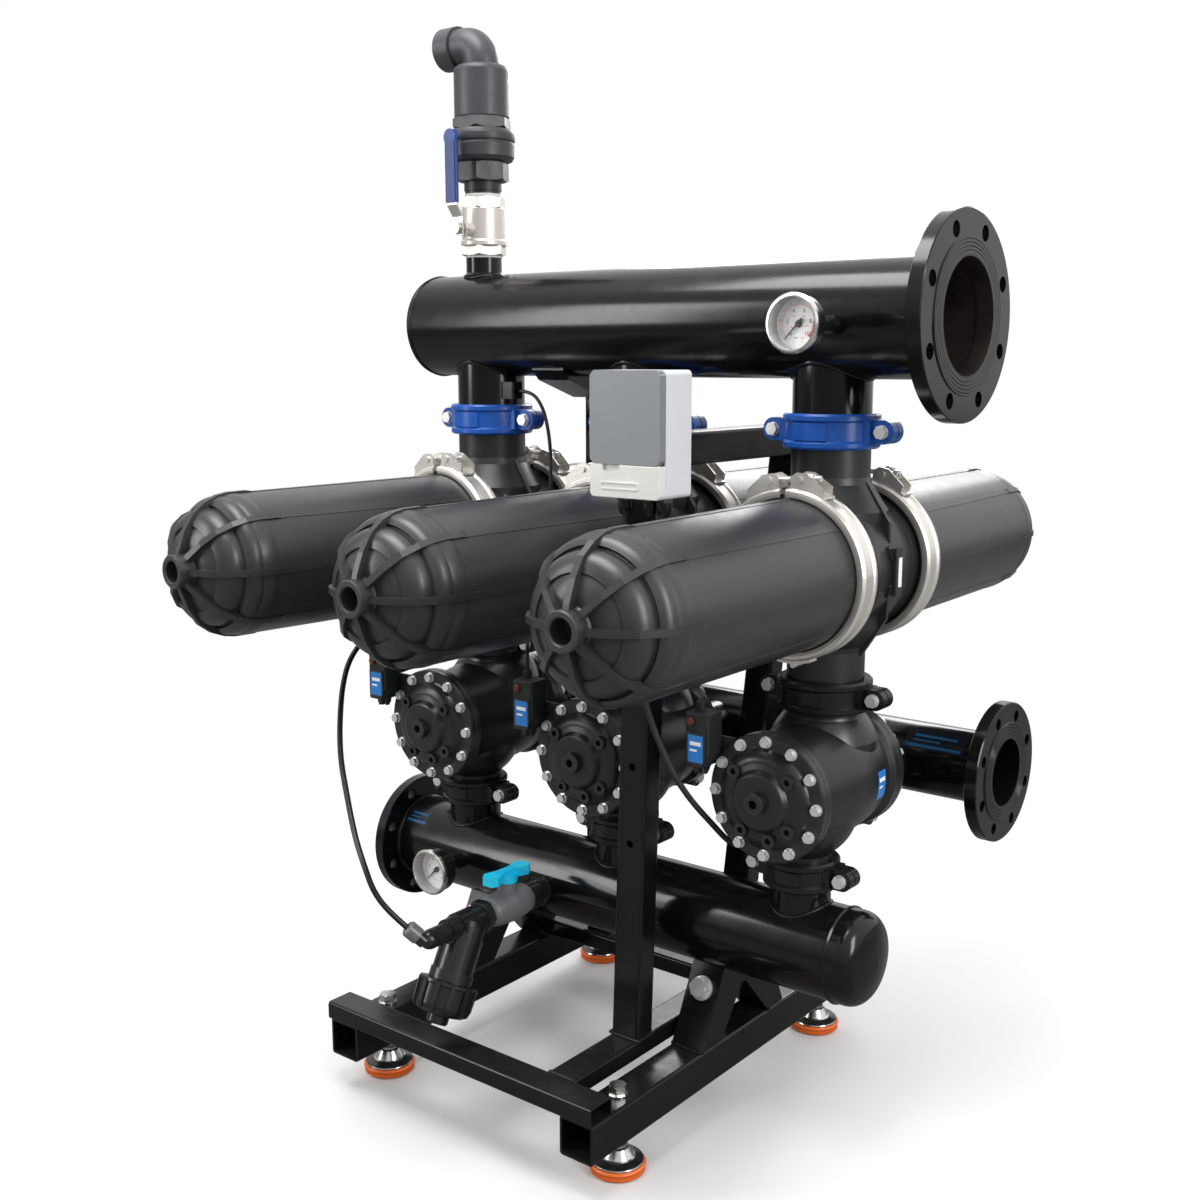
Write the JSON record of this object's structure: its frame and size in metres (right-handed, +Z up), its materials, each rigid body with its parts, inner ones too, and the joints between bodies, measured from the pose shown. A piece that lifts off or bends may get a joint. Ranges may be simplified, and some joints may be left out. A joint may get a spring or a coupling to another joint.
{
  "type": "irrigation disc filter",
  "caption": "Automatic backflushing disc filter battery on a skid, with twin horizontal barrels per station, pipe manifolds, three-way valves and a controller.",
  "frame": {"origin": "middle of the footprint on the floor, under the feet", "axes": "+X along the manifolds towards the flanged end, -Y towards the domed front barrels and the controller, +Z up"},
  "size_m": [1.015, 1.2648, 1.723],
  "materials": {
    "black_paint": "gloss",
    "zinc_steel": "zinc plated",
    "orange_rubber": "satin",
    "blue_paint": "gloss",
    "black_cast": "satin paint",
    "gasket_rubber": "satin",
    "charcoal_plastic": "matte",
    "stainless": "brushed",
    "disc_plastic": "matte",
    "spine_plastic": "matte",
    "button_plastic": "satin",
    "case_plastic": "satin",
    "door_plastic": "satin",
    "dial_white": "satin",
    "clear_glass": "polished",
    "needle_black": "matte",
    "nickel_brass": "nickel plated",
    "nickel_lever": "nickel plated",
    "grip_blue": "satin",
    "grey_pvc": "satin",
    "cyan_plastic": "satin"
  },
  "bodies": {
    "filter_set": {"skid_rails": "black_paint", "skid_cross_tubes": "black_paint", "mid_rail": "black_paint", "front_post": "black_paint", "rear_post_right": "black_paint", "rear_post_left": "black_paint", "top_crossbar": "black_paint", "manifold_saddles": "black_paint", "saddle_bolts": "zinc_steel", "foot_pads": "orange_rubber", "foot_studs": "zinc_steel", "upper_manifold": "black_paint", "lower_manifold": "black_paint", "drain_manifold": "black_paint", "blue_couplings": "blue_paint", "black_couplings": "black_cast", "coupling_gaskets": "gasket_rubber", "coupling_bolts": "zinc_steel", "filter_body_left": "charcoal_plastic", "filter_body_middle": "charcoal_plastic", "filter_body_right": "charcoal_plastic", "front_barrel_left": "charcoal_plastic", "front_barrel_middle": "charcoal_plastic", "front_barrel_right": "charcoal_plastic", "rear_barrels": "charcoal_plastic", "band_clamps": "stainless", "clamp_latches": "stainless", "disc_stacks": "disc_plastic", "stack_spines": "spine_plastic", "valve_bodies": "charcoal_plastic", "valve_bonnets": "charcoal_plastic", "bonnet_bolts": "zinc_steel", "solenoid_boxes": "charcoal_plastic", "controller_case": "case_plastic", "controller_cover": "case_plastic", "cable_glands": "charcoal_plastic", "gauge_cases": "stainless", "gauge_dials": "dial_white", "gauge_windows": "clear_glass", "ball_valve_body": "nickel_brass", "air_valve_body": "grey_pvc", "air_valve_elbow": "grey_pvc", "sampling_valve_body": "grey_pvc", "strainer_body": "charcoal_plastic", "strainer_cap": "charcoal_plastic", "control_hose": "gasket_rubber", "riser_hose": "gasket_rubber", "valve_cable": "gasket_rubber"},
    "lever": {"ball_valve_lever": "nickel_lever", "lever_grip": "grip_blue"},
    "sampling_handle": {"sampling_valve_handle": "cyan_plastic"},
    "upper_needle": {"upper_gauge_needle": "needle_black"},
    "lower_needle": {"lower_gauge_needle": "needle_black"},
    "door": {"controller_door": "door_plastic"},
    "button_left": {"override_button_left": "button_plastic"},
    "button_middle": {"override_button_middle": "button_plastic"},
    "button_right": {"override_button_right": "button_plastic"},
    "piston_left": {"valve_piston_left": "spine_plastic"},
    "piston_middle": {"valve_piston_middle": "spine_plastic"},
    "piston_right": {"valve_piston_right": "spine_plastic"}
  },
  "joints": [
    {"name": "air_ball_valve_turn", "type": "hinge", "parent": "filter_set", "child": "lever", "pos_m": [-0.3725, -0.06, 1.3885], "axis": [0, 1, 0], "range_deg": [0, 90]},
    {"name": "sampling_valve_turn", "type": "hinge", "parent": "filter_set", "child": "sampling_handle", "pos_m": [-0.1315, -0.228, 0.316], "axis": [0, 0, 1], "range_deg": [0, 90]},
    {"name": "upper_needle_turn", "type": "hinge", "parent": "filter_set", "child": "upper_needle", "pos_m": [0.3555, -0.188, 1.22], "axis": [0, 1, 0], "range_deg": [0, 270], "stiffness_Nm_per_rad": 0.0005},
    {"name": "lower_needle_turn", "type": "hinge", "parent": "filter_set", "child": "lower_needle", "pos_m": [-0.3315, -0.188, 0.316], "axis": [0, 1, 0], "range_deg": [0, 270], "stiffness_Nm_per_rad": 0.0005},
    {"name": "controller_door_hinge", "type": "hinge", "parent": "filter_set", "child": "door", "pos_m": [0.0779, -0.265, 1.096], "axis": [0, 0, -1], "range_deg": [0, 110]},
    {"name": "override_button_left_press", "type": "slide", "parent": "filter_set", "child": "button_left", "axis": [0, 1, 0], "range_m": [0, 0.002], "stiffness_N_per_m": 600},
    {"name": "override_button_middle_press", "type": "slide", "parent": "filter_set", "child": "button_middle", "axis": [0, 1, 0], "range_m": [0, 0.002], "stiffness_N_per_m": 600},
    {"name": "override_button_right_press", "type": "slide", "parent": "filter_set", "child": "button_right", "axis": [0, 1, 0], "range_m": [0, 0.002], "stiffness_N_per_m": 600},
    {"name": "valve_piston_left_travel", "type": "slide", "parent": "filter_set", "child": "piston_left", "axis": [0, 1, 0], "range_m": [0, 0.025], "stiffness_N_per_m": 800},
    {"name": "valve_piston_middle_travel", "type": "slide", "parent": "filter_set", "child": "piston_middle", "axis": [0, 1, 0], "range_m": [0, 0.025], "stiffness_N_per_m": 800},
    {"name": "valve_piston_right_travel", "type": "slide", "parent": "filter_set", "child": "piston_right", "axis": [0, 1, 0], "range_m": [0, 0.025], "stiffness_N_per_m": 800}
  ]
}
